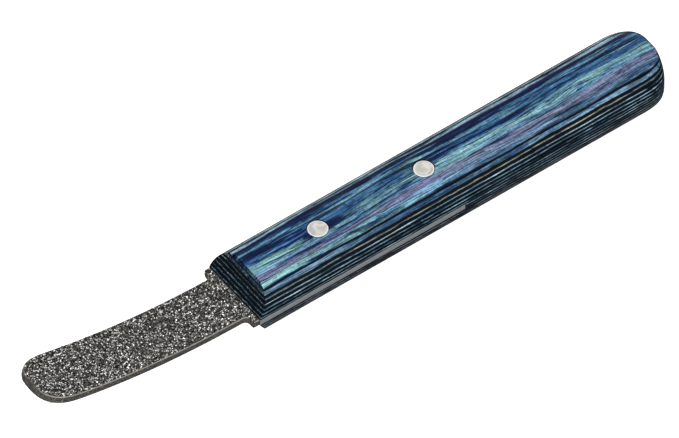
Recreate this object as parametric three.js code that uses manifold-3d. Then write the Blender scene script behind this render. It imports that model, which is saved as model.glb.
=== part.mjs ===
// A farrier's diamond file: one bent steel plate coated with diamond grit, whose tang is riveted
// into a slot sawn in a handle of dyed laminated wood.
// Millimetres, +Z up. The origin is on the handle's flat underside, halfway along the handle.
// The blade points towards -X and curves up, and the butt is towards +X.

import * as THREE from 'three';
import { mergeVertices } from 'three/addons/utils/BufferGeometryUtils.js';
import Module from 'manifold-3d';

const wasm = await Module();
wasm.setup();

// Handle
const HANDLE_LENGTH = 144;
const HANDLE_WIDTH = 24;
const HANDLE_THICKNESS = 18;
const HANDLE_EDGE_RADIUS = 7.75;
const HANDLE_SIDE_FLAT = 2.5; // the least flat left on the handle's side between its rounded edges
const BEVEL_SETBACK = 0.585; // how far the front bevel runs back for each millimetre of height
const BUTT_ROUND = 11.2; // length over which the butt draws in, seen from above
const BUTT_FULLNESS = 3; // 2 is an ellipse, more is squarer
const BUTT_NOSE_SHARE = 0.3; // share of the width that stays flat at the very end
const BUTT_EDGE_RADIUS = 2.1; // rounding of the butt's upper and lower edge
const VENEERS_PER_SIDE = 7; // whole veneers above the tang, and as many below

// Plate
const PLATE_THICKNESS = 1.8;
const GRIT_COAT = 0.3;
const TANG_LENGTH = 70.6;
const SHOULDER_LENGTH = 2;
const SHOULDER_INSET = 0.2; // the shoulder is this much narrower than the handle on each side
const SHOULDER_CORNER = 0.6;
const BLADE_FILLET = 1.6;
const BLADE_LENGTH = 70.6; // along the curve, from the handle's front to the tip
const BLADE_ROOT_WIDTH = 17.2;
const BLADE_TIP_WIDTH = 18.2;
const BLADE_BEND_RADIUS = 222;
const BLADE_EDGE_CHAMFER = 0.5;
const TIP_ROUND = 12.3; // length over which the tip draws in
const TIP_FULLNESS = 2.8;
const TIP_NOSE_SHARE = 0.12;

// Rivets
const RIVET_HEAD_DIAMETER = 6;
const RIVET_HEAD_HEIGHT = 1.6;
const RIVET_DOME = 0.15;
const RIVET_SINK = 0.02; // the crown of a head lies this far under the wood's surface
const RIVET_TUBE_DIAMETER = 4.2;
const RIVET_PIN_DIAMETER = 3;
const RIVET_PIN_END_ROOM = 1; // left free at the bottom of the socket
const RIVET_PITCH = 36.5;
const RIVET_TO_TANG_END = 5.5;

// Clearances
const BOND_GAP = 0.2; // glue line on each face of the tang
const TANG_END_GAP = 0.3;
const RIVET_HEAD_CLEARANCE = 0.1;
const RIVET_TUBE_CLEARANCE = 0.15;
const RIVET_PIN_CLEARANCE = 0.1;

// Fineness of the curves
const CORNER_STEPS = 8;
const BUTT_STEPS = 10;
const TIP_STEPS = 12;
const BEND_STEPS = 14;
const FILLET_STEPS = 5;
const ROUND_STEPS = 32;

// Places that several pieces share
const FRONT_X = -HANDLE_LENGTH / 2;
const BUTT_X = HANDLE_LENGTH / 2;
const PLATE_Z = HANDLE_THICKNESS / 2;
const SLOT_LOW_Z = PLATE_Z - PLATE_THICKNESS / 2 - BOND_GAP;
const SLOT_HIGH_Z = PLATE_Z + PLATE_THICKNESS / 2 + BOND_GAP;
const TANG_END_X = FRONT_X + TANG_LENGTH;
const REAR_RIVET_X = TANG_END_X - RIVET_TO_TANG_END;
const FRONT_RIVET_X = REAR_RIVET_X - RIVET_PITCH;
const RIVET_XS = [FRONT_RIVET_X, REAR_RIVET_X];
const OVERRUN = 5; // how far a cutter passes the surface that it cuts

const steel = new THREE.MeshStandardMaterial({ color: 0x5b5955, roughness: 0.75, metalness: 0.6 });
const rivetSteel = new THREE.MeshStandardMaterial({ color: 0xcfcfca, roughness: 0.35, metalness: 1 });
const dyes = [0x12203f, 0x2f5f8e, 0x0d1526, 0x3d7f92].map(
  (color) => new THREE.MeshStandardMaterial({ color, roughness: 0.35, metalness: 0 }),
);

// Helpers

function solid(geometry) {
  const bare = geometry.clone();
  bare.deleteAttribute('normal');
  bare.deleteAttribute('uv');
  const merged = mergeVertices(bare, 1e-4);
  return new wasm.Manifold(new wasm.Mesh({
    numProp: 3,
    vertProperties: new Float32Array(merged.attributes.position.array),
    triVerts: new Uint32Array(merged.index.array),
  }));
}

function named(name, body, material) {
  const { vertProperties, triVerts, numProp } = body.getMesh();
  const positions = new Float32Array((vertProperties.length / numProp) * 3);
  for (let v = 0; v * numProp < vertProperties.length; v += 1) {
    positions.set(vertProperties.subarray(v * numProp, v * numProp + 3), v * 3);
  }
  const geometry = new THREE.BufferGeometry();
  geometry.setAttribute('position', new THREE.BufferAttribute(positions, 3));
  geometry.setIndex(new THREE.BufferAttribute(new Uint32Array(triVerts), 1));
  const shaded = geometry.toNonIndexed();
  shaded.computeVertexNormals();
  const mesh = new THREE.Mesh(shaded, material);
  mesh.name = name;
  return mesh;
}

// A box whose faces lie exactly at the given values, so that neighbours share a plane.
function box(low, high) {
  const geometry = new THREE.BoxGeometry();
  const position = geometry.attributes.position;
  const corner = new THREE.Vector3();
  for (let v = 0; v < position.count; v += 1) {
    corner.fromBufferAttribute(position, v);
    position.setXYZ(v,
      corner.x < 0 ? low.x : high.x, corner.y < 0 ? low.y : high.y, corner.z < 0 ? low.z : high.z);
  }
  return solid(geometry);
}

// A half outline's width, as a share of the full width, at `share` of the way through a round end.
function roundedEnd(share, fullness) {
  return (1 - share ** fullness) ** (1 / fullness);
}

// How far through a round end its half outline has a given share of the full width. The curve is
// its own mirror image about 45 degrees, so the same formula answers it.
function shareWhereWidthIs(width, fullness) {
  return roundedEnd(width, fullness);
}

// A section extruded in as many steps as there are stations, each ring moved by `place`.
function drawn(section, stations, place) {
  const steps = stations.length - 1;
  const geometry = new THREE.ExtrudeGeometry(section, { depth: steps, steps, bevelEnabled: false });
  const position = geometry.attributes.position;
  const point = new THREE.Vector3();
  for (let v = 0; v < position.count; v += 1) {
    point.fromBufferAttribute(position, v);
    place(point, stations[Math.round(point.z)]);
    position.setXYZ(v, point.x, point.y, point.z);
  }
  return solid(geometry);
}

// A profile of [radius, height] points turned about an upright axis at x.
function turned(profile, x) {
  const points = profile.map(([radius, height]) => new THREE.Vector2(radius, height));
  const geometry = new THREE.LatheGeometry(points, ROUND_STEPS);
  return solid(geometry.rotateX(Math.PI / 2).translate(x, 0, 0));
}

// A side profile in X and Z, as wide as the handle and a little more.
function acrossHandle(outline) {
  const width = HANDLE_WIDTH + 2 * OVERRUN;
  const shape = new THREE.Shape(outline.map(([x, z]) => new THREE.Vector2(x, z)));
  const geometry = new THREE.ExtrudeGeometry(shape, { depth: width, bevelEnabled: false });
  return solid(geometry.rotateX(Math.PI / 2).translate(0, width / 2, 0));
}

// Handle

function handleSection() {
  const halfWidth = HANDLE_WIDTH / 2;
  const halfHeight = HANDLE_THICKNESS / 2;
  const radius = Math.min(HANDLE_EDGE_RADIUS, halfHeight - HANDLE_SIDE_FLAT / 2);
  const section = new THREE.Shape();
  const corners = [[1, 1, 0], [-1, 1, 1], [-1, -1, 2], [1, -1, 3]];
  for (const [y, z, quarter] of corners) {
    const start = quarter * Math.PI / 2;
    section.absarc(y * (halfWidth - radius), z * (halfHeight - radius), radius,
      start, start + Math.PI / 2, false);
  }
  return new THREE.Shape(section.getPoints(CORNER_STEPS));
}

// Where the handle's rings stand, and how much of its width and height each one keeps.
function handleStations() {
  const stations = [{ x: FRONT_X, width: 1, height: 1 }];
  const last = shareWhereWidthIs(BUTT_NOSE_SHARE, BUTT_FULLNESS);
  for (let step = 0; step <= BUTT_STEPS; step += 1) {
    const share = last * Math.sin((step / BUTT_STEPS) * Math.PI / 2);
    const x = BUTT_X - BUTT_ROUND + BUTT_ROUND * share;
    const intoEdge = Math.max(0, x - (BUTT_X - BUTT_EDGE_RADIUS));
    const drop = BUTT_EDGE_RADIUS - Math.sqrt(BUTT_EDGE_RADIUS ** 2 - intoEdge ** 2);
    stations.push({
      x,
      width: roundedEnd(share, BUTT_FULLNESS),
      height: 1 - drop / (HANDLE_THICKNESS / 2),
    });
  }
  return stations;
}

function handleBlank() {
  return drawn(handleSection(), handleStations(), (point, station) => {
    point.set(station.x, point.x * station.width, PLATE_Z + point.y * station.height);
  });
}

// The wedge that the front bevel takes off, above the tang (side 1) or below it (side -1).
function bevelWedge(side) {
  const start = SLOT_HIGH_Z - PLATE_Z;
  const end = HANDLE_THICKNESS / 2 + OVERRUN;
  const slope = BEVEL_SETBACK * (end - start);
  const outline = [
    [FRONT_X - OVERRUN, start], [FRONT_X, start], [FRONT_X + slope, end], [FRONT_X - OVERRUN, end],
  ].map(([x, z]) => [x, PLATE_Z + side * z]);
  return acrossHandle(side > 0 ? outline : outline.reverse());
}

function tangSlot() {
  const halfWidth = HANDLE_WIDTH / 2 + OVERRUN;
  return box(
    new THREE.Vector3(FRONT_X - OVERRUN, -halfWidth, SLOT_LOW_Z),
    new THREE.Vector3(TANG_END_X + TANG_END_GAP, halfWidth, SLOT_HIGH_Z),
  );
}

function rivetHole(x) {
  const headRadius = RIVET_HEAD_DIAMETER / 2 + RIVET_HEAD_CLEARANCE;
  const tubeRadius = RIVET_TUBE_DIAMETER / 2 + RIVET_TUBE_CLEARANCE;
  const seat = RIVET_SINK + RIVET_HEAD_HEIGHT + RIVET_HEAD_CLEARANCE;
  return turned([
    [0, -OVERRUN], [headRadius, -OVERRUN], [headRadius, seat], [tubeRadius, seat],
    [tubeRadius, HANDLE_THICKNESS - seat], [headRadius, HANDLE_THICKNESS - seat],
    [headRadius, HANDLE_THICKNESS + OVERRUN], [0, HANDLE_THICKNESS + OVERRUN],
  ], x);
}

function handleWood() {
  let wood = handleBlank().subtract(tangSlot());
  for (const side of [1, -1]) wood = wood.subtract(bevelWedge(side));
  for (const x of RIVET_XS) wood = wood.subtract(rivetHole(x));
  return wood;
}

// The heights where one veneer meets the next: the tang's slot takes exactly the two middle ones.
function glueLines() {
  const pitch = SLOT_LOW_Z / VENEERS_PER_SIDE;
  const below = [];
  for (let line = 1; line < VENEERS_PER_SIDE; line += 1) below.push(line * pitch);
  const above = below.map((height) => HANDLE_THICKNESS - height).reverse();
  return [...below, SLOT_LOW_Z, PLATE_Z, SLOT_HIGH_Z, ...above];
}

function veneers() {
  const wood = handleWood();
  const faces = [-OVERRUN, ...glueLines(), HANDLE_THICKNESS + OVERRUN];
  const halfWidth = HANDLE_WIDTH / 2 + OVERRUN;
  const pieces = [];
  for (let layer = 0; layer + 1 < faces.length; layer += 1) {
    const slab = box(
      new THREE.Vector3(FRONT_X - OVERRUN, -halfWidth, faces[layer]),
      new THREE.Vector3(BUTT_X + OVERRUN, halfWidth, faces[layer + 1]),
    );
    const number = String(layer + 1).padStart(2, '0');
    pieces.push(named(`veneer_${number}`, wood.intersect(slab), dyes[layer % dyes.length]));
  }
  return pieces;
}

// Plate

// Half the blade's width at a distance from the handle's front, without its tip and shoulder.
function bladeHalfWidth(distance) {
  const share = distance / BLADE_LENGTH;
  return THREE.MathUtils.lerp(BLADE_ROOT_WIDTH, BLADE_TIP_WIDTH, share) / 2;
}

// The half outline of the coated plate, from the handle's front to the tip.
function bladeStations() {
  const shoulder = HANDLE_WIDTH / 2 - SHOULDER_INSET;
  const stations = [{ distance: 0, halfWidth: shoulder }];
  for (let step = 0; step <= FILLET_STEPS; step += 1) {
    const angle = (step / FILLET_STEPS) * Math.PI / 2;
    stations.push({
      distance: SHOULDER_LENGTH - SHOULDER_CORNER * (1 - Math.sin(angle)),
      halfWidth: shoulder - SHOULDER_CORNER * (1 - Math.cos(angle)),
    });
  }
  const filletEnd = SHOULDER_LENGTH + BLADE_FILLET;
  for (let step = 0; step <= FILLET_STEPS; step += 1) {
    const angle = (step / FILLET_STEPS) * Math.PI / 2;
    const distance = filletEnd - BLADE_FILLET * Math.cos(angle);
    stations.push({
      distance,
      halfWidth: bladeHalfWidth(distance) + BLADE_FILLET * (1 - Math.sin(angle)),
    });
  }
  const tipStart = BLADE_LENGTH - TIP_ROUND;
  for (let step = 1; step < BEND_STEPS; step += 1) {
    const distance = THREE.MathUtils.lerp(filletEnd, tipStart, step / BEND_STEPS);
    stations.push({ distance, halfWidth: bladeHalfWidth(distance) });
  }
  const last = shareWhereWidthIs(TIP_NOSE_SHARE, TIP_FULLNESS);
  for (let step = 0; step <= TIP_STEPS; step += 1) {
    const share = last * Math.sin((step / TIP_STEPS) * Math.PI / 2);
    const distance = tipStart + TIP_ROUND * share;
    stations.push({ distance, halfWidth: bladeHalfWidth(distance) * roundedEnd(share, TIP_FULLNESS) });
  }
  return stations;
}

// The blade's section as a strip 2 mm wide. Its edges are moved out to each ring's own width.
function bladeSection() {
  const half = PLATE_THICKNESS / 2 + GRIT_COAT;
  const flat = 1 - BLADE_EDGE_CHAMFER;
  const side = half - BLADE_EDGE_CHAMFER;
  const corners = [[flat, -half], [1, -side], [1, side], [flat, half]];
  const mirrored = corners.map(([y, z]) => [-y, -z]);
  return new THREE.Shape([...corners, ...mirrored].map(([y, z]) => new THREE.Vector2(y, z)));
}

// The blade curves up on one arc, which starts level at the handle's front.
function blade() {
  return drawn(bladeSection(), bladeStations(), (point, { distance, halfWidth }) => {
    const angle = distance / BLADE_BEND_RADIUS;
    const inset = Math.min(1 - Math.abs(point.x), halfWidth / 2);
    const fromCentre = BLADE_BEND_RADIUS - point.y;
    point.set(
      FRONT_X - fromCentre * Math.sin(angle),
      -Math.sign(point.x) * (halfWidth - inset),
      PLATE_Z + BLADE_BEND_RADIUS - fromCentre * Math.cos(angle),
    );
  });
}

// The bare steel in the handle, flush with its sides, runs on into the middle of the shoulder.
function tang() {
  const halfWidth = HANDLE_WIDTH / 2;
  const inHandle = box(
    new THREE.Vector3(FRONT_X, -halfWidth, PLATE_Z - PLATE_THICKNESS / 2),
    new THREE.Vector3(TANG_END_X, halfWidth, PLATE_Z + PLATE_THICKNESS / 2),
  );
  const rootHalfWidth = halfWidth - SHOULDER_INSET - BLADE_EDGE_CHAMFER;
  const inShoulder = box(
    new THREE.Vector3(FRONT_X - SHOULDER_LENGTH / 2, -rootHalfWidth, PLATE_Z - PLATE_THICKNESS / 2),
    new THREE.Vector3(FRONT_X + SHOULDER_LENGTH / 2, rootHalfWidth, PLATE_Z + PLATE_THICKNESS / 2),
  );
  return inHandle.add(inShoulder);
}

function plate() {
  let body = tang().add(blade());
  for (const x of RIVET_XS) body = body.subtract(rivetHole(x));
  return named('blade_and_tang', body, steel);
}

// Rivets

// The half profile of a domed head, from its crown to its rim, at the bottom of the handle.
function headProfile() {
  const radius = RIVET_HEAD_DIAMETER / 2;
  const profile = [];
  for (let step = 0; step <= FILLET_STEPS; step += 1) {
    const share = step / FILLET_STEPS;
    profile.push([radius * share, RIVET_SINK + RIVET_DOME * share ** 2]);
  }
  profile.push([radius, RIVET_SINK + RIVET_HEAD_HEIGHT]);
  return profile;
}

// The socket's head is on the underside, and its tube reaches up through the tang.
function rivetSocket(name, x) {
  const tube = RIVET_TUBE_DIAMETER / 2;
  const bore = RIVET_PIN_DIAMETER / 2 + RIVET_PIN_CLEARANCE;
  const seat = RIVET_SINK + RIVET_HEAD_HEIGHT;
  const mouth = HANDLE_THICKNESS - seat - RIVET_HEAD_CLEARANCE;
  const profile = [...headProfile(), [tube, seat], [tube, mouth], [bore, mouth], [bore, seat], [0, seat]];
  return named(name, turned(profile, x), rivetSteel);
}

// The pin's head is on the upper side, and its pin is pressed down into the socket's tube.
function rivetPin(name, x) {
  const pin = RIVET_PIN_DIAMETER / 2;
  const seat = RIVET_SINK + RIVET_HEAD_HEIGHT;
  const end = HANDLE_THICKNESS - seat - RIVET_PIN_END_ROOM;
  const profile = [...headProfile(), [pin, seat], [pin, end], [0, end]];
  const upright = profile.map(([radius, height]) => [radius, HANDLE_THICKNESS - height]);
  return named(name, turned(upright.reverse(), x), rivetSteel);
}

const file = new THREE.Group();
file.add(plate());
file.add(...veneers());
file.add(rivetPin('front_rivet_pin', FRONT_RIVET_X));
file.add(rivetSocket('front_rivet_socket', FRONT_RIVET_X));
file.add(rivetPin('rear_rivet_pin', REAR_RIVET_X));
file.add(rivetSocket('rear_rivet_socket', REAR_RIVET_X));

export default file;
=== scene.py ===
import math
import random

import bmesh
import bpy
from mathutils import Euler, Matrix, Vector


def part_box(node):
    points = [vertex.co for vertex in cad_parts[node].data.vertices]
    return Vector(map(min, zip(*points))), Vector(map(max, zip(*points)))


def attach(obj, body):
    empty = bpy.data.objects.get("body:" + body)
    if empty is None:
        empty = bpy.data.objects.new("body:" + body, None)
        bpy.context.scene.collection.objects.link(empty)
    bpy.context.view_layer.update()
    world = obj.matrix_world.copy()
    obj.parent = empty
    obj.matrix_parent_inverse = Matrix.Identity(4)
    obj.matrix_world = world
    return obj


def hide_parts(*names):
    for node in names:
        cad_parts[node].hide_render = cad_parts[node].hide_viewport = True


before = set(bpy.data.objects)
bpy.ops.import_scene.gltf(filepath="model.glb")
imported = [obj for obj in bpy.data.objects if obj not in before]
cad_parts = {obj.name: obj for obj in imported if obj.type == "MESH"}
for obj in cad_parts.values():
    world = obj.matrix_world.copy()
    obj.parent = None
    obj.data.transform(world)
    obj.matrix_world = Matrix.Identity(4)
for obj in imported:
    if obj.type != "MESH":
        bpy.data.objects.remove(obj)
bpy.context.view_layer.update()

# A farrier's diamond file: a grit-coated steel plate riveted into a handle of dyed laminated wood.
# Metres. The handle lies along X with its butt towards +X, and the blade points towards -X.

MM = 0.001
BODY = "root"
TOUCHING = 1e-7  # points nearer than this are one point

# The handle, from the veneers' boxes
VENEERS = sorted(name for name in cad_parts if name.startswith("veneer_"))
VENEER_BOXES = {name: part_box(name) for name in VENEERS}
FRONT_X = min(low.x for low, high in VENEER_BOXES.values())
BUTT_X = max(high.x for low, high in VENEER_BOXES.values())
HALF_WIDTH = max(high.y for low, high in VENEER_BOXES.values())
THICKNESS = max(high.z for low, high in VENEER_BOXES.values())
EDGE_RADIUS = 7.75 * MM
EDGE_STEPS = 30
BEVEL_SETBACK = 0.585  # run of the front bevel for each unit of height
BUTT_ROUND = 11.2 * MM  # length over which the butt draws in, seen from above
BUTT_FULLNESS = 3
BUTT_EDGE_RADIUS = 2.1 * MM
BUTT_RINGS = 26

# The plate, from its own box and the slot left between the veneers
PLATE_LOW, PLATE_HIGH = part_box("blade_and_tang")
PLATE_Z = THICKNESS / 2
TANG_END_X = PLATE_HIGH.x
TANG_HALF_HEIGHT = 0.9 * MM
COAT_HALF_HEIGHT = 1.2 * MM
SHOULDER_LENGTH = 2 * MM
SHOULDER_HALF_WIDTH = HALF_WIDTH - 0.2 * MM
SHOULDER_CORNER = 0.6 * MM
SHOULDER_LEAN = 0.03 * MM  # the shoulder's front leans forward by this much
BLADE_FILLET = 1.6 * MM
BLADE_LENGTH = 70.6 * MM  # along the curve
BLADE_ROOT_HALF_WIDTH = 8.6 * MM
BLADE_TIP_HALF_WIDTH = 9.1 * MM
BLADE_BEND_RADIUS = 222 * MM
BLADE_EDGE_ROUND = 0.45 * MM
GRIT_MARGIN = 0.36 * MM  # rubbed bare beside the edge
TIP_ROUND = 12.3 * MM
TIP_FULLNESS = 2.8
TIP_NOSE_SHARE = 0.1  # share of the width that stays square at the very tip

# The grit
GRIT_SPACING = 0.4 * MM
GRIT_RADIUS = 0.23 * MM
GRIT_SIDES = 5
RIM_GRIT_SPACING = 0.11 * MM  # length of edge for each crystal
RIM_GRIT_RADIUS = 0.08 * MM

# The rivets, from their boxes
RIVETS = {
    name: (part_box(f"{name}_pin")[0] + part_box(f"{name}_pin")[1]) / 2
    for name in ("front_rivet", "rear_rivet")
}
HEAD_RADIUS = (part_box("front_rivet_pin")[1].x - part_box("front_rivet_pin")[0].x) / 2
HEAD_HEIGHT = 1.6 * MM
HEAD_DOME = 0.16 * MM
HEAD_RIM = 0.22 * MM
TUBE_RADIUS = 2.1 * MM
PIN_RADIUS = 1.5 * MM
HEAD_CLEARANCE = 0.1 * MM  # between a head and the wood
TUBE_CLEARANCE = 0.15 * MM
PIN_CLEARANCE = 0.1 * MM


# Camera and lights

def aim(thing, place, target):
    thing.location = place
    thing.rotation_euler = (target - place).to_track_quat("-Z", "Y").to_euler()


def direction(azimuth, elevation):
    """The direction from the object to a viewer or a lamp. Azimuth 0 is in front, at -Y."""
    a, e = math.radians(azimuth), math.radians(elevation)
    return Vector((math.sin(a) * math.cos(e), -math.cos(a) * math.cos(e), math.sin(e)))


def camera():
    """A very long lens from the front left, so that parallel edges stay nearly parallel."""
    data = bpy.data.cameras.new("camera")
    data.sensor_width = 36
    data.lens = 1000
    data.clip_end = 50
    item = bpy.data.objects.new("camera", data)
    bpy.context.scene.collection.objects.link(item)
    target = Vector((FRONT_X + 39.8 * MM, 5.1 * MM, PLATE_Z))
    picture_width = 188.6 * MM
    distance = picture_width * data.lens / data.sensor_width
    aim(item, target + direction(-36.3, 50.5) * distance, target)
    bpy.context.scene.camera = item


def softbox(name, azimuth, elevation, distance, size, power):
    data = bpy.data.lights.new(name, "AREA")
    data.shape = "SQUARE"
    data.size = size
    data.energy = power
    item = bpy.data.objects.new(name, data)
    bpy.context.scene.collection.objects.link(item)
    item.visible_camera = False
    aim(item, direction(azimuth, elevation) * distance, Vector((0, 0, PLATE_Z)))


def studio():
    """A grey sky that is darker below, a key, a fill and two weak lamps from behind."""
    world = bpy.data.worlds.new("studio")
    world.use_nodes = True
    tree = Tree(world.node_tree)
    height = tree.split(tree.add("ShaderNodeTexCoord").outputs["Generated"])[2]
    sky = tree.step(height, -0.25, 0.25, 0.11, 0.38)
    background = world.node_tree.nodes["Background"]
    tree.feed(background.inputs["Color"], tree.join(sky, sky, sky))
    background.inputs["Strength"].default_value = 1.0
    bpy.context.scene.world = world
    bpy.context.scene.view_settings.view_transform = "Standard"
    softbox("key", -62, 52, 0.9, 0.4, 6.1)
    softbox("fill", -8, 20, 0.9, 0.5, 3.1)
    softbox("back", 143.7, 50.5, 1.0, 0.6, 0.7)
    softbox("rim", 143.7, 14, 1.2, 0.3, 1.4)


# Node trees

class Tree:
    """A node tree being wired up. Each method adds a node and gives its output."""

    def __init__(self, tree):
        self.tree = tree

    def add(self, kind, inputs=None, **settings):
        node = self.tree.nodes.new(kind)
        for key, value in settings.items():
            setattr(node, key, value)
        for key, value in (inputs or {}).items():
            self.feed(node.inputs[key], value)
        return node

    def feed(self, socket, value):
        if isinstance(value, bpy.types.NodeSocket):
            self.tree.links.new(value, socket)
        else:
            socket.default_value = value

    def math(self, operation, first, second=0.0):
        return self.add("ShaderNodeMath", {0: first, 1: second}, operation=operation).outputs[0]

    def centred(self, noise, size):
        """Turns a noise of 0 to 1 into one of minus to plus half a size."""
        return self.math("MULTIPLY", self.math("SUBTRACT", noise, 0.5), size)

    def vector(self, operation, first, second):
        node = self.add("ShaderNodeVectorMath", {0: first}, operation=operation)
        self.feed(node.inputs["Scale" if operation == "SCALE" else 1], second)
        return node.outputs["Value" if operation in ("LENGTH", "DISTANCE") else "Vector"]

    def split(self, vector):
        return self.add("ShaderNodeSeparateXYZ", {0: vector}).outputs

    def join(self, x, y, z):
        return self.add("ShaderNodeCombineXYZ", {0: x, 1: y, 2: z}).outputs[0]

    def noise(self, vector, detail=2.0, roughness=0.5):
        inputs = {"Vector": vector, "Scale": 1.0, "Detail": detail, "Roughness": roughness}
        return self.add("ShaderNodeTexNoise", inputs).outputs["Fac"]

    def step(self, value, start, end, low=0.0, high=1.0, kind="SMOOTHSTEP"):
        """Goes smoothly from low to high while value goes from start to end, and no further."""
        inputs = {"Value": value, "From Min": start, "From Max": end, "To Min": low, "To Max": high}
        node = self.add("ShaderNodeMapRange", inputs, interpolation_type=kind)
        return node.outputs["Result"]

    def mix(self, share, first, second, blend="MIX"):
        node = self.add("ShaderNodeMix", {0: share}, data_type="RGBA", blend_type=blend)
        self.feed(node.inputs[6], first)
        self.feed(node.inputs[7], second)
        return node.outputs[2]

    def ramp(self, value, stops):
        node = self.add("ShaderNodeValToRGB", {0: value})
        elements = node.color_ramp.elements
        while len(elements) < len(stops):
            elements.new(1.0)
        for element, (place, colour) in zip(elements, stops):
            element.position = place
            element.color = colour
        return node.outputs[0]

    def group(self, group, inputs):
        node = self.tree.nodes.new("ShaderNodeGroup")
        node.node_tree = group
        for key, value in inputs.items():
            self.feed(node.inputs[key], value)
        return node.outputs


def dye(code):
    """A colour from its web code, as the shader's linear values."""
    levels = [int(code[place:place + 2], 16) / 255 for place in (1, 3, 5)]
    linear = [v / 12.92 if v <= 0.04045 else ((v + 0.055) / 1.055) ** 2.4 for v in levels]
    return (*linear, 1.0)


def node_group(name, inputs, outputs):
    """An empty node group with its sockets: name to type, where the type is Float, Vector or Color."""
    group = bpy.data.node_groups.new(name, "ShaderNodeTree")
    for side, sockets in (("INPUT", inputs), ("OUTPUT", outputs)):
        for socket, kind in sockets.items():
            group.interface.new_socket(socket, in_out=side, socket_type=f"NodeSocket{kind}")
    tree = Tree(group)
    start = tree.add("NodeGroupInput").outputs
    end = tree.add("NodeGroupOutput").inputs
    return group, tree, start, end


def new_material(name):
    """A material, its tree, its shader and the place on the object in millimetres."""
    material = bpy.data.materials.new(name)
    material.use_nodes = True
    tree = Tree(material.node_tree)
    shader = material.node_tree.nodes["Principled BSDF"]
    place = tree.add("ShaderNodeTexCoord").outputs["Object"]
    return material, tree, shader, tree.vector("SCALE", place, 1 / MM)


def surface_bump(tree, shader, height, depth):
    bump = tree.add("ShaderNodeBump", {"Height": height, "Distance": depth, "Strength": 1.0})
    tree.feed(shader.inputs["Normal"], bump.outputs[0])


# Wood

def wood_figure():
    """Streaks, grain lines and pores that run along the handle. Across is the width, made wavy."""
    group, tree, start, end = node_group(
        "wood figure", {"Position": "Vector", "Seed": "Float"},
        {"Across": "Float", "Streak": "Float", "Patch": "Float", "Grain": "Float", "Pores": "Float",
         "Cracks": "Float", "Flecks": "Float"},
    )
    shift = tree.vector("SCALE", (31.0, 0.0, 11.0), start["Seed"])
    place = tree.vector("ADD", start["Position"], shift)
    x, y, z = tree.split(place)
    drift = tree.noise(tree.vector("MULTIPLY", place, (1 / 38, 1 / 9, 1 / 6)), 1.0)
    ripple = tree.noise(tree.vector("MULTIPLY", place, (1 / 16, 1 / 2.4, 1 / 3)), 3.0)
    waves = tree.math("ADD", tree.centred(drift, 3.0), tree.centred(ripple, 1.6))
    across = tree.math("ADD", y, waves)

    def lengthwise(run, spread, detail, roughness=0.5):
        run_place = tree.math("DIVIDE", x, run)
        across_place = tree.math("DIVIDE", across, spread)
        depth_place = tree.math("DIVIDE", z, spread * 1.6)
        return tree.noise(tree.join(run_place, across_place, depth_place), detail, roughness)

    tree.feed(end["Across"], across)
    tree.feed(end["Streak"], lengthwise(22, 1.3, 5.0, 0.64))
    tree.feed(end["Patch"], lengthwise(17, 3.0, 3.0))
    tree.feed(end["Grain"], lengthwise(10, 0.3, 4.0, 0.66))
    tree.feed(end["Pores"], lengthwise(2.6, 0.17, 1.0))
    tree.feed(end["Cracks"], lengthwise(34, 0.42, 1.0))
    tree.feed(end["Flecks"], lengthwise(0.5, 1.5, 1.0))
    return group


def pressed_layer():
    """How near a point is to the middle of its veneer: the dye is darkest at the glue lines."""
    group, tree, start, end = node_group(
        "pressed layer", {"Position": "Vector", "Low": "Float", "High": "Float", "Spread": "Float"},
        {"Core": "Float"},
    )
    waver = tree.noise(tree.vector("MULTIPLY", start["Position"], (1 / 14, 1 / 3, 1 / 2)), 3.0)
    height = tree.math("ADD", tree.split(start["Position"])[2], tree.centred(waver, 0.6))
    middle = tree.math("MULTIPLY", tree.math("ADD", start["Low"], start["High"]), 0.5)
    half = tree.math("MULTIPLY", tree.math("SUBTRACT", start["High"], start["Low"]), 0.5)
    off = tree.math("DIVIDE", tree.math("ABSOLUTE", tree.math("SUBTRACT", height, middle)), half)
    clear = tree.math("SUBTRACT", start["Spread"], 0.08)
    soaked = tree.math("ADD", start["Spread"], 0.08)
    tree.feed(end["Core"], tree.step(off, soaked, clear))
    return group


FIGURE = wood_figure()
LAYER = pressed_layer()

# The colours of the wood's face from the far edge to the near one, at places across it in mm.
FACE_BANDS = [
    (-9.0, "#4b6478"), (-8.0, "#86a3b6"), (-7.2, "#6d8ca6"), (-6.6, "#0e2450"), (-5.5, "#0b1c48"),
    (-5.0, "#3c6b90"), (-3.8, "#6797ad"), (-2.6, "#4d7da2"), (-1.4, "#2f5a8a"), (-0.4, "#4a7aa4"),
    (0.8, "#7aa8a8"), (2.2, "#76a3b8"), (3.6, "#5d86ac"), (4.4, "#666a90"), (5.4, "#62678c"),
    (6.1, "#6191b0"), (6.8, "#8ab2c6"), (7.9, "#76a2b8"), (8.6, "#3a5f88"), (9.6, "#4d6f8c"),
]
FACE_HALF = 10.0


def face_colour(tree, nearness):
    """The face's bands of colour. nearness is the distance from the middle, towards the near edge."""
    share = tree.math("ADD", tree.math("MULTIPLY", nearness, 1 / (2 * FACE_HALF)), 0.5)
    stops = [((place + FACE_HALF) / (2 * FACE_HALF), dye(code)) for place, code in FACE_BANDS]
    return tree.ramp(share, stops)


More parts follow.
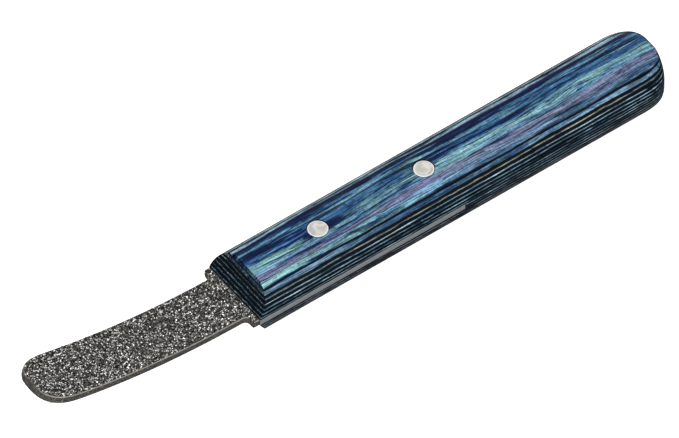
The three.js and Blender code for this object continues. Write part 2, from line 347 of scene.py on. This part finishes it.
def streaks(tree, place, wood, figure, nearness):
    """Navy lens-shaped streaks down the middle, pale and green patches, darker edges, a painted far-edge
    highlight.
    """
    fibre = tree.centred(figure["Grain"], 0.5)
    middle = tree.step(nearness, 2.2, -0.6, 0.0, 0.045, kind="LINEAR")
    streak = tree.math("ADD", tree.math("ADD", figure["Streak"], middle), fibre)
    frayed = tree.math("ADD", nearness, tree.math("MULTIPLY", fibre, 6.0))

    pale = tree.step(streak, 0.47, 0.36, 0.0, 0.7)
    wood = tree.mix(pale, wood, dye("#9cc6d6"))
    green = tree.step(figure["Patch"], 0.54, 0.64, 0.0, 0.45)
    wood = tree.mix(green, wood, dye("#84b49e"))
    blue = tree.step(streak, 0.53, 0.58, 0.0, 0.75)
    wood = tree.mix(blue, wood, dye("#1f5384"))

    mauve = tree.math("MULTIPLY", tree.step(frayed, 3.8, 4.5, 0.0, 0.62), tree.step(frayed, 6.3, 5.7))
    wood = tree.mix(mauve, wood, dye("#777a98"))
    far = tree.math("MULTIPLY", tree.step(frayed, -7.0, -6.6, 0.0, 0.97), tree.step(frayed, -4.9, -5.5))
    wood = tree.mix(far, wood, dye("#020b38"))
    # Painted highlight: a pale stripe along the face's far edge, where the glare falls.
    edge = tree.step(frayed, -6.7, -7.1, 0.0, 0.9)
    wood = tree.mix(edge, wood, dye("#9cc0d2"))
    navy = tree.step(streak, 0.57, 0.62, 0.0, 0.96)
    wood = tree.mix(navy, wood, dye("#020c3c"))

    towards_butt = tree.step(tree.split(place)[0], -14.0, 10.0, 0.0, 0.85)
    smoky = tree.math("MULTIPLY", towards_butt, tree.step(frayed, 5.4, 6.4))
    slate = tree.mix(tree.step(figure["Patch"], 0.44, 0.56), dye("#647c99"), dye("#2c4468"))
    return tree.mix(smoky, wood, slate)


def veneer_material(number, low, high, edge_dye, core_dyes, spread, is_face):
    """A dyed veneer: dark where the dye soaked in from both glue lines and paler between them.

    spread is the share of its thickness that stays pale. The faces are the top and the bottom one.
    """
    material, tree, shader, place = new_material(f"dyed veneer {number:02d}")
    figure = tree.group(FIGURE, {"Position": place, "Seed": number * 1.0})
    layer = {"Position": place, "Low": low / MM, "High": high / MM, "Spread": spread}
    core = tree.group(LAYER, layer)["Core"]
    if is_face:
        nearness = tree.math("MULTIPLY", figure["Across"], 1 if number == 1 else -1)
        wood = face_colour(tree, nearness)
        wood = streaks(tree, place, wood, figure, nearness)
    else:
        tone = tree.step(figure["Patch"], 0.38, 0.62)
        wood = tree.mix(tone, *(dye(code) for code in core_dyes))
        if number > len(VENEERS) - 3:
            # Painted highlight: the veneers just under the top face turn paler towards the far edge, where
            # the glare falls.
            far_side_highlight = tree.step(tree.split(place)[1], 6.0, 9.0, 0.0, 0.75)
            wood = tree.mix(far_side_highlight, wood, dye("#b4cad6"))
    colour = tree.mix(core, dye(edge_dye), wood)
    grain = tree.step(figure["Grain"], 0.34, 0.66, 0.24, 1.7)
    grain = tree.math("MULTIPLY", grain, tree.step(figure["Flecks"], 0.34, 0.66, 0.84, 1.16))
    colour = tree.mix(1.0, colour, tree.join(grain, grain, grain), "MULTIPLY")
    pores = tree.step(figure["Pores"], 0.58, 0.66, 0.0, 0.75)
    cracks = tree.step(figure["Cracks"], 0.61, 0.65, 0.0, 0.85)
    colour = tree.mix(tree.math("MAXIMUM", pores, cracks), colour, dye("#040c20"))
    colour = end_grain(tree, place, colour)
    colour = rivet_rings(tree, place, colour)
    tree.feed(shader.inputs["Base Color"], colour)
    tree.feed(shader.inputs["Roughness"], tree.step(figure["Grain"], 0.3, 0.7, 0.42, 0.3))
    shader.inputs["Specular IOR Level"].default_value = 0.08
    surface_bump(tree, shader, figure["Grain"], 0.02 * MM)
    return material


def end_grain(tree, place, colour):
    """Cut fibre ends drink more dye, so faces across the grain are nearly black, with a fine hatch."""
    normal = tree.add("ShaderNodeNewGeometry").outputs["True Normal"]
    turn = tree.math("ABSOLUTE", tree.split(normal)[0])
    hatch = tree.noise(tree.vector("MULTIPLY", place, (0.3, 3.6, 1.2)), 2.0)
    drunk = tree.step(hatch, 0.4, 0.6, 0.45, 0.9)
    share = tree.math("MULTIPLY", tree.step(turn, 0.6, 0.8), drunk)
    return tree.mix(share, colour, dye("#04080f"))


def rivet_rings(tree, place, colour):
    """A thin dark line of glue round each rivet head."""
    edge = HEAD_RADIUS / MM
    share = tree.step(from_rivet(tree, place), edge + 0.32, edge + 0.1, 0.0, 0.8)
    return tree.mix(share, colour, dye("#04070f"))


def from_rivet(tree, place):
    """The distance from the nearest rivet's axis, in millimetres."""
    reaches = []
    for centre in RIVETS.values():
        offset = tree.vector("SUBTRACT", place, (centre.x / MM, 0.0, 0.0))
        level = tree.vector("MULTIPLY", offset, (1.0, 1.0, 0.0))
        reaches.append(tree.vector("LENGTH", level, (0.0, 0.0, 0.0)))
    return tree.math("MINIMUM", *reaches)


def handle_block():
    """The whole block of wood: rounded along its four long edges, drawn in at the butt, bevelled."""
    form = bmesh.new()
    bmesh.ops.create_cube(form, size=1)
    length = BUTT_X - FRONT_X
    bmesh.ops.scale(form, vec=(length, 2 * HALF_WIDTH, THICKNESS), verts=form.verts)
    bmesh.ops.translate(form, vec=((BUTT_X + FRONT_X) / 2, 0, THICKNESS / 2), verts=form.verts)
    long_edges = [e for e in form.edges if abs(e.verts[0].co.x - e.verts[1].co.x) > length / 2]
    bmesh.ops.bevel(form, geom=long_edges, offset=EDGE_RADIUS, affect="EDGES",
                    segments=EDGE_STEPS, profile=0.5, material=-1)
    butt_start = -FRONT_X - BUTT_ROUND
    nose = (BUTT_X - butt_start) / BUTT_ROUND
    for ring in range(BUTT_RINGS):
        share = nose * math.sin(ring / BUTT_RINGS * math.pi / 2)
        cut(form, Vector((butt_start + BUTT_ROUND * share, 0, 0)), Vector((1, 0, 0)))
    for vert in form.verts:
        share = max(0.0, (vert.co.x - butt_start) / BUTT_ROUND)
        narrow = (1 - share ** BUTT_FULLNESS) ** (1 / BUTT_FULLNESS)
        into_edge = max(0.0, vert.co.x - (-FRONT_X - BUTT_EDGE_RADIUS))
        drop = BUTT_EDGE_RADIUS - math.sqrt(BUTT_EDGE_RADIUS ** 2 - into_edge ** 2)
        flat = 1 - drop / (THICKNESS / 2)
        vert.co.y *= narrow
        vert.co.z = THICKNESS / 2 + (vert.co.z - THICKNESS / 2) * flat
    slot_high = VENEER_BOXES[VENEERS[len(VENEERS) // 2]][1].z
    for side in (1, -1):
        corner = Vector((FRONT_X, 0, THICKNESS / 2 + side * (slot_high - THICKNESS / 2)))
        cut(form, corner, Vector((-1, 0, side * BEVEL_SETBACK)), remove="outer")
    return form


def cut(form, place, normal, remove=None):
    """Cuts along a plane. The part on the normal's side (outer) or behind it (inner) can be removed."""
    geometry = form.verts[:] + form.edges[:] + form.faces[:]
    bmesh.ops.bisect_plane(form, geom=geometry, dist=TOUCHING, plane_co=place, plane_no=normal.normalized(),
                           clear_outer=remove == "outer", clear_inner=remove == "inner")
    if remove:
        rim = [edge for edge in form.edges if edge.is_boundary]
        bmesh.ops.holes_fill(form, edges=rim, sides=0)


def veneer(block, name):
    """One layer sliced out of the block. The two middle layers are sawn away for the tang."""
    low, high = VENEER_BOXES[name]
    form = block.copy()
    if low.z > 1e-6:
        cut(form, low, Vector((0, 0, 1)), remove="inner")
    if high.z < THICKNESS - 1e-6:
        cut(form, high, Vector((0, 0, 1)), remove="outer")
    if low.x > FRONT_X + BUTT_ROUND:
        cut(form, low, Vector((1, 0, 0)), remove="inner")
    return form


def handle():
    """Sixteen veneers, sliced from one block, each with its own dye."""
    block = handle_block()
    dyes = ["#02070e", "#030c18", "#01050b", "#04101d"]
    upper_cores = [("#95aeba", "#557485"), ("#86a3b1", "#466677"), ("#92abb7", "#5f7f8c")]
    lower_cores = [("#9aa3aa", "#707b84"), ("#a4abb1", "#7a868e"), ("#8d969e", "#65717b")]
    last = len(VENEERS) - 1
    for order, name in enumerate(VENEERS):
        low, high = VENEER_BOXES[name]
        bottom, top = low.z, high.z
        sheet = top - bottom
        if order == 0:  # a face is dark at its one glue line only
            bottom -= sheet
        if order == last:
            top += sheet
        cores = upper_cores if order >= last // 2 else lower_cores
        core = cores[order % len(cores)]
        spread = 0.86 if order in (0, last) else 0.25
        if order == last - 2:
            core = ("#8f917a", "#5b6b70")
        if order in (1, last - 1):
            core = ("#6a8aa0", "#345270")
            spread = 0.64
        edge = dyes[order % len(dyes)]
        material = veneer_material(order + 1, bottom, top, edge, core, spread, order in (0, last))
        piece = make_piece(f"{name}_wood", veneer(block, name), material, name)
        cut_holes(piece)
    block.free()


# Pieces

def make_piece(name, form, material, node=None, sharp=35):
    """Turns a bmesh into an object of the file, shaded smooth except at its sharp edges."""
    mesh = bpy.data.meshes.new(name)
    form.to_mesh(mesh)
    form.free()
    mesh.materials.append(material)
    piece = bpy.data.objects.new(name, mesh)
    bpy.context.scene.collection.objects.link(piece)
    shade(mesh, sharp)
    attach(piece, BODY)
    if node:
        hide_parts(node)
    return piece


def shade(mesh, sharp=35):
    mesh.polygons.foreach_set("use_smooth", [True] * len(mesh.polygons))
    mesh.set_sharp_from_angle(angle=math.radians(sharp))


def turned(profile, x, steps=72):
    """A profile of (radius, height) points spun round an upright axis at x."""
    form = bmesh.new()
    verts = [form.verts.new((x + radius, 0, height)) for radius, height in profile]
    edges = [form.edges.new(pair) for pair in zip(verts, verts[1:])]
    bmesh.ops.spin(form, geom=verts + edges, cent=(x, 0, 0), axis=(0, 0, 1), dvec=(0, 0, 0),
                   angle=math.tau, steps=steps, use_merge=True)
    bmesh.ops.remove_doubles(form, verts=form.verts, dist=TOUCHING)
    bmesh.ops.recalc_face_normals(form, faces=form.faces)
    return form


def rivet_hole(x):
    seat = HEAD_HEIGHT + HEAD_CLEARANCE
    wide, narrow = HEAD_RADIUS + HEAD_CLEARANCE, TUBE_RADIUS + TUBE_CLEARANCE
    over = 3 * MM
    profile = [
        (0, -over), (wide, -over), (wide, seat), (narrow, seat), (narrow, THICKNESS - seat),
        (wide, THICKNESS - seat), (wide, THICKNESS + over), (0, THICKNESS + over),
    ]
    mesh = bpy.data.meshes.new("rivet hole")
    form = turned(profile, x)
    form.to_mesh(mesh)
    form.free()
    cutter = bpy.data.objects.new("rivet hole", mesh)
    bpy.context.scene.collection.objects.link(cutter)
    return cutter


def cut_holes(piece, sharp=35):
    cutters = [rivet_hole(centre.x) for centre in RIVETS.values()]
    for cutter in cutters:
        hole = piece.modifiers.new("rivet hole", "BOOLEAN")
        hole.operation = "DIFFERENCE"
        hole.solver = "EXACT"
        hole.object = cutter
    graph = bpy.context.evaluated_depsgraph_get()
    mesh = bpy.data.meshes.new_from_object(piece.evaluated_get(graph))
    piece.modifiers.clear()
    piece.data = mesh
    shade(mesh, sharp)
    for cutter in cutters:
        bpy.data.objects.remove(cutter)


# Rivets

def rivet_material():
    """Bright metal with fine circular buffing marks, a few soft dents and a painted highlight round each
    head's edge.
    """
    material, tree, shader, place = new_material("buffed rivet metal")
    marks = tree.noise(tree.vector("MULTIPLY", place, (5.0, 1.2, 1.0)), 4.0, 0.6)
    dents = tree.noise(tree.vector("MULTIPLY", place, (0.32, 0.32, 0.32)), 1.0)
    tone = tree.ramp(dents, [(0.36, dye("#d4d0c7")), (0.5, dye("#eeece8")), (0.64, dye("#cfcfd0"))])
    edge = HEAD_RADIUS / MM
    # Painted highlight: a near-white ring round the edge of each head, less metallic so it stays white.
    rim = tree.step(from_rivet(tree, place), edge - 0.5, edge - 0.2)
    tree.feed(shader.inputs["Base Color"], tree.mix(rim, tone, dye("#fbfaf7")))
    tree.feed(shader.inputs["Roughness"], tree.step(marks, 0.3, 0.7, 0.26, 0.44))
    tree.feed(shader.inputs["Metallic"], tree.step(rim, 0, 1, 1.0, 0.2))
    height = tree.math("ADD", tree.math("MULTIPLY", marks, 0.25), dents)
    surface_bump(tree, shader, height, 0.05 * MM)
    return material


def head_profile():
    """A shallow dome with a rounded rim, from the crown to the seat under the head."""
    points = []
    for step in range(9):
        share = step / 8
        radius = (HEAD_RADIUS - HEAD_RIM) * share
        points.append((radius, HEAD_DOME * share ** 2))
    for step in range(1, 6):
        angle = step / 5 * math.pi / 2
        radius = HEAD_RADIUS - HEAD_RIM * (1 - math.sin(angle))
        points.append((radius, HEAD_DOME + HEAD_RIM * (1 - math.cos(angle))))
    points.append((HEAD_RADIUS, HEAD_HEIGHT))
    return points


def rivets():
    material = rivet_material()
    mouth = THICKNESS - HEAD_HEIGHT - HEAD_CLEARANCE
    bore = PIN_RADIUS + PIN_CLEARANCE
    pin_end = THICKNESS - HEAD_HEIGHT - 1 * MM
    for name, centre in RIVETS.items():
        socket = [*head_profile(), (TUBE_RADIUS, HEAD_HEIGHT), (TUBE_RADIUS, mouth),
                  (bore, mouth), (bore, HEAD_HEIGHT), (0, HEAD_HEIGHT)]
        make_piece(f"{name}_socket_metal", turned(socket, centre.x), material, f"{name}_socket")
        pin = [*head_profile(), (PIN_RADIUS, HEAD_HEIGHT), (PIN_RADIUS, pin_end), (0, pin_end)]
        pin = [(radius, THICKNESS - height) for radius, height in pin]
        make_piece(f"{name}_pin_metal", turned(pin, centre.x), material, f"{name}_pin")


# Plate and grit

def round_end(share, fullness):
    return (1 - share ** fullness) ** (1 / fullness)


def blade_half_width(distance):
    """Half the coated blade's width at a distance from the handle's front, along the curve."""
    share = distance / BLADE_LENGTH
    straight = BLADE_ROOT_HALF_WIDTH + (BLADE_TIP_HALF_WIDTH - BLADE_ROOT_HALF_WIDTH) * share
    into_tip = max(0.0, distance - (BLADE_LENGTH - TIP_ROUND)) / TIP_ROUND
    if into_tip >= 1:
        return 0.0
    return straight * round_end(into_tip, TIP_FULLNESS)


def on_blade(distance, across, height):
    """A point of the curved blade: height is square to its face, above the plate's middle."""
    angle = distance / BLADE_BEND_RADIUS
    from_centre = BLADE_BEND_RADIUS - height
    return Vector((
        FRONT_X - from_centre * math.sin(angle),
        across,
        PLATE_Z + BLADE_BEND_RADIUS - from_centre * math.cos(angle),
    ))


def plate_stations():
    """(distance, half width, half height, edge round) from the tang's end to the blade's tip."""
    tang = -(TANG_END_X - FRONT_X)
    stations = [
        (tang, HALF_WIDTH, TANG_HALF_HEIGHT, 0.02 * MM),
        (0.0, HALF_WIDTH, TANG_HALF_HEIGHT, 0.02 * MM),
        (0.0, SHOULDER_HALF_WIDTH, COAT_HALF_HEIGHT, BLADE_EDGE_ROUND),
    ]
    steps = 8
    for step in range(steps + 1):
        angle = step / steps * math.pi / 2
        stations.append((
            SHOULDER_LENGTH - SHOULDER_CORNER * (1 - math.sin(angle)),
            SHOULDER_HALF_WIDTH - SHOULDER_CORNER * (1 - math.cos(angle)),
            COAT_HALF_HEIGHT, BLADE_EDGE_ROUND,
        ))
    fillet_end = SHOULDER_LENGTH + SHOULDER_LEAN + BLADE_FILLET
    for step in range(steps + 1):
        angle = step / steps * math.pi / 2
        distance = fillet_end - BLADE_FILLET * math.cos(angle)
        half_width = blade_half_width(distance) + BLADE_FILLET * (1 - math.sin(angle))
        stations.append((distance, half_width, COAT_HALF_HEIGHT, BLADE_EDGE_ROUND))
    tip_start = BLADE_LENGTH - TIP_ROUND
    for step in range(1, 40):
        distance = fillet_end + (tip_start - fillet_end) * step / 40
        stations.append((distance, blade_half_width(distance), COAT_HALF_HEIGHT, BLADE_EDGE_ROUND))
    last = round_end(TIP_NOSE_SHARE, TIP_FULLNESS)
    for step in range(33):
        distance = tip_start + TIP_ROUND * last * math.sin(step / 32 * math.pi / 2)
        stations.append((distance, blade_half_width(distance), COAT_HALF_HEIGHT, BLADE_EDGE_ROUND))
    return stations


def plate_form():
    """The plate's section, extruded ring by ring from the tang's end to the tip of the blade."""
    corner_steps = 4
    ring = []
    for side_y, side_z, quarter in ((1, -1, 3), (1, 1, 0), (-1, 1, 1), (-1, -1, 2)):
        for step in range(corner_steps + 1):
            angle = (quarter + step / corner_steps) * math.pi / 2
            ring.append((side_y, side_z, math.cos(angle), math.sin(angle)))

    def place(point, station):
        side_y, side_z, out_y, out_z = point
        distance, half_width, half_height, rounding = station
        rounding = min(rounding, half_width / 2)
        across = side_y * (half_width - rounding) + out_y * rounding
        height = side_z * (half_height - rounding) + out_z * rounding
        if distance < 0:
            return Vector((FRONT_X - distance, across, PLATE_Z + height))
        return on_blade(distance, across, height)

    form = bmesh.new()
    order = form.verts.layers.int.new("order")
    stations = plate_stations()
    corners = []
    for number, point in enumerate(ring):
        corner = form.verts.new(place(point, stations[0]))
        corner[order] = number
        corners.append(corner)
    face = form.faces.new(corners)
    for number, station in enumerate(stations[1:]):
        grown = bmesh.ops.extrude_face_region(form, geom=[face])["geom"]
        if number > 0:  # the first face stays, as the tang's end
            bmesh.ops.delete(form, geom=[face], context="FACES_ONLY")
        for vert in (item for item in grown if isinstance(item, bmesh.types.BMVert)):
            vert.co = place(ring[vert[order]], station)
        face = next(item for item in grown if isinstance(item, bmesh.types.BMFace))
    bmesh.ops.recalc_face_normals(form, faces=form.faces)
    return form


def plate_material():
    """Dark nickel bond, with a painted highlight along the blade's rounded edges, and ground bare steel on
    the tang.
    """
    material, tree, shader, place = new_material("coated and bare plate")
    bare = tree.math("GREATER_THAN", tree.split(place)[0], FRONT_X / MM)
    pits = tree.noise(tree.vector("SCALE", place, 4.5), 4.0, 0.65)
    coat = tree.ramp(pits, [(0.35, dye("#12110f")), (0.5, dye("#474540")), (0.66, dye("#8e8a83"))])
    normal = tree.add("ShaderNodeNewGeometry").outputs["Normal"]
    level = tree.math("ABSOLUTE", tree.split(normal)[2])
    # Painted highlight: paler where the face rounds over into the edge, picked out by the normal's tilt.
    blade_edge_highlight = tree.math("MULTIPLY", tree.step(level, 0.4, 0.7, 0.0, 0.6), tree.step(level, 0.94, 0.88))
    coat = tree.mix(blade_edge_highlight, coat, dye("#b4afa6"))
    lines = tree.noise(tree.vector("MULTIPLY", place, (0.4, 1.0, 9.0)), 3.0, 0.6)
    ground = tree.ramp(lines, [(0.3, dye("#a9b0b5")), (0.7, dye("#d9dddf"))])
    tree.feed(shader.inputs["Base Color"], tree.mix(bare, coat, ground))
    tree.feed(shader.inputs["Roughness"], tree.step(bare, 0, 1, 0.55, 0.45))
    tree.feed(shader.inputs["Metallic"], tree.step(bare, 0, 1, 0.35, 0.7))
    height = tree.math("MULTIPLY", pits, tree.math("SUBTRACT", 1.0, bare))
    surface_bump(tree, shader, height, 0.12 * MM)
    return material


def grit_material(name, cell_size, stops):
    """Dark diamond crystals, each its own shade, the palest painted white as glints, and the brightest ones
    glassy.
    """
    material, tree, shader, place = new_material(name)
    cell = tree.add("ShaderNodeTexVoronoi", {"Vector": place, "Scale": MM / cell_size})
    pick, second_pick, _ = tree.split(cell.outputs["Color"])
    # Each cell gets a random shade from the ramp; near-white top stops are painted glints.
    tone = tree.ramp(pick, [(stop, dye(code)) for stop, code in stops])
    core = tree.step(cell.outputs["Distance"], 0.62, 0.4)
    tone = tree.mix(core, dye("#070706"), tone)
    tree.feed(shader.inputs["Base Color"], tone)
    tree.feed(shader.inputs["Roughness"], tree.step(second_pick, 0, 1, 0.12, 0.4))
    tree.feed(shader.inputs["Metallic"], tree.step(pick, 0.72, 0.8, 0.0, 0.45))
    shader.inputs["Specular IOR Level"].default_value = 0.06
    return material


def crystal(form, place, normal, size, chance):
    """One blocky crystal, sunk in the bond: a five-sided stub with a flat top, turned at random."""
    upright = normal.to_track_quat("Z", "Y").to_matrix().to_4x4()
    tilt = Euler((chance.gauss(0, 0.42), chance.gauss(0, 0.42), chance.uniform(0, math.tau)))
    stretch = Matrix.Diagonal((1, chance.uniform(0.7, 1.3), chance.uniform(0.8, 1.2), 1))
    turn = Matrix.Translation(place) @ upright @ tilt.to_matrix().to_4x4() @ stretch
    bmesh.ops.create_cone(form, cap_ends=True, cap_tris=False, segments=GRIT_SIDES, radius1=size,
                          radius2=size * chance.uniform(0.35, 0.7), depth=size * 1.2, matrix=turn)


def grit_on_face(side, seed):
    """Crystals on one face of the blade, in jittered rows. side is 1 for the upper face."""
    chance = random.Random(seed)
    whole = bmesh.new()
    rows = int(BLADE_LENGTH / (GRIT_SPACING * 0.87))
    for row in range(rows):
        form = bmesh.new()
        base = row * GRIT_SPACING * 0.87
        columns = int(SHOULDER_HALF_WIDTH / GRIT_SPACING) + 1
        for column in range(-columns, columns + 1):
            distance = base + chance.uniform(-0.45, 0.45) * GRIT_SPACING
            across = (column + 0.5 * (row % 2) + chance.uniform(-0.45, 0.45)) * GRIT_SPACING
            if distance < GRIT_RADIUS or distance > BLADE_LENGTH - GRIT_MARGIN:
                continue
            reach = blade_half_width(distance)
            if distance < SHOULDER_LENGTH:
                reach = SHOULDER_HALF_WIDTH
            if abs(across) > reach - GRIT_MARGIN:
                continue
            size = GRIT_RADIUS * chance.uniform(0.6, 1.25)
            place = on_blade(distance, across, side * (COAT_HALF_HEIGHT - 0.1 * size))
            normal = on_blade(distance, across, side) - on_blade(distance, across, 0)
            crystal(form, place, normal.normalized(), size, chance)
        add_to(whole, form)
    return whole


def grit_on_rim(seed):
    """Finer crystals round the blade's narrow edge, from shoulder to shoulder."""
    chance = random.Random(seed)
    whole = bmesh.new()
    stations = plate_stations()
    outline = [station[:2] for station in stations if station[2] == COAT_HALF_HEIGHT]
    outline.append((outline[-1][0], 0.0))
    for start, end in zip(outline, outline[1:]):
        form = bmesh.new()
        run = math.dist(start, end)
        for side in (1, -1):
            for _ in range(int(run / RIM_GRIT_SPACING + chance.random())):
                share = chance.random()
                distance = start[0] + (end[0] - start[0]) * share
                across = start[1] + (end[1] - start[1]) * share
                out = ((start[1] - end[1]) / run * MM, (end[0] - start[0]) / run * MM)
                height = chance.uniform(-0.75, 0.75) * MM
                place = on_blade(distance, side * across, height)
                beyond = on_blade(distance + out[0], side * (across + out[1]), height)
                size = RIM_GRIT_RADIUS * chance.uniform(0.6, 1.3)
                crystal(form, place, (beyond - place).normalized(), size, chance)
        add_to(whole, form)
    return whole


def add_to(whole, form):
    """Moves a small bmesh into a big one."""
    mesh = bpy.data.meshes.new("row")
    form.to_mesh(mesh)
    form.free()
    whole.from_mesh(mesh)
    bpy.data.meshes.remove(mesh)


def plate():
    """The plate, with coarse grit on both faces of its blade and fine grit round the edge."""
    piece = make_piece("coated_plate", plate_form(), plate_material(), "blade_and_tang", sharp=50)
    cut_holes(piece, sharp=50)
    # Partly painted light: the coarse grit's white top stop stands for glints.
    coarse = grit_material("coarse diamond grit", 0.5 * MM, [
        (0.28, "#020202"), (0.46, "#3f3c38"), (0.6, "#b8b5ad"), (0.68, "#ffffff"),
    ])
    # The fine grit is paler than the coarse: finer crystals, and painted light that lifts the rim, which
    # lies in shade.
    fine = grit_material("fine diamond grit", 0.34 * MM, [
        (0.15, "#67645e"), (0.5, "#a29f97"), (0.75, "#cbc8c0"), (0.95, "#fbf8f2"),
    ])
    forms = {
        "grit_upper_face": (grit_on_face(1, 11), coarse),
        "grit_lower_face": (grit_on_face(-1, 23), coarse),
        "grit_rim": (grit_on_rim(37), fine),
    }
    for name, (form, material) in forms.items():
        grit = make_piece(name, form, material, sharp=10)


# Floor

def floor():
    """A pale floor that glows by itself, so the tool stands on plain white."""
    form = bmesh.new()
    bmesh.ops.create_grid(form, x_segments=1, y_segments=1, size=3)
    bmesh.ops.translate(form, vec=(0, 0, -0.05 * MM), verts=form.verts)
    mesh = bpy.data.meshes.new("floor")
    form.to_mesh(mesh)
    form.free()
    item = bpy.data.objects.new("floor", mesh)
    bpy.context.scene.collection.objects.link(item)
    material, _, shader, _ = new_material("pale floor")
    shader.inputs["Base Color"].default_value = (0.5, 0.5, 0.5, 1)
    shader.inputs["Roughness"].default_value = 0.8
    shader.inputs["Emission Color"].default_value = (1, 1, 1, 1)
    shader.inputs["Emission Strength"].default_value = 1.0
    mesh.materials.append(material)
    item.visible_diffuse = False
    item.visible_glossy = False


camera()
studio()
floor()
handle()
rivets()
plate()
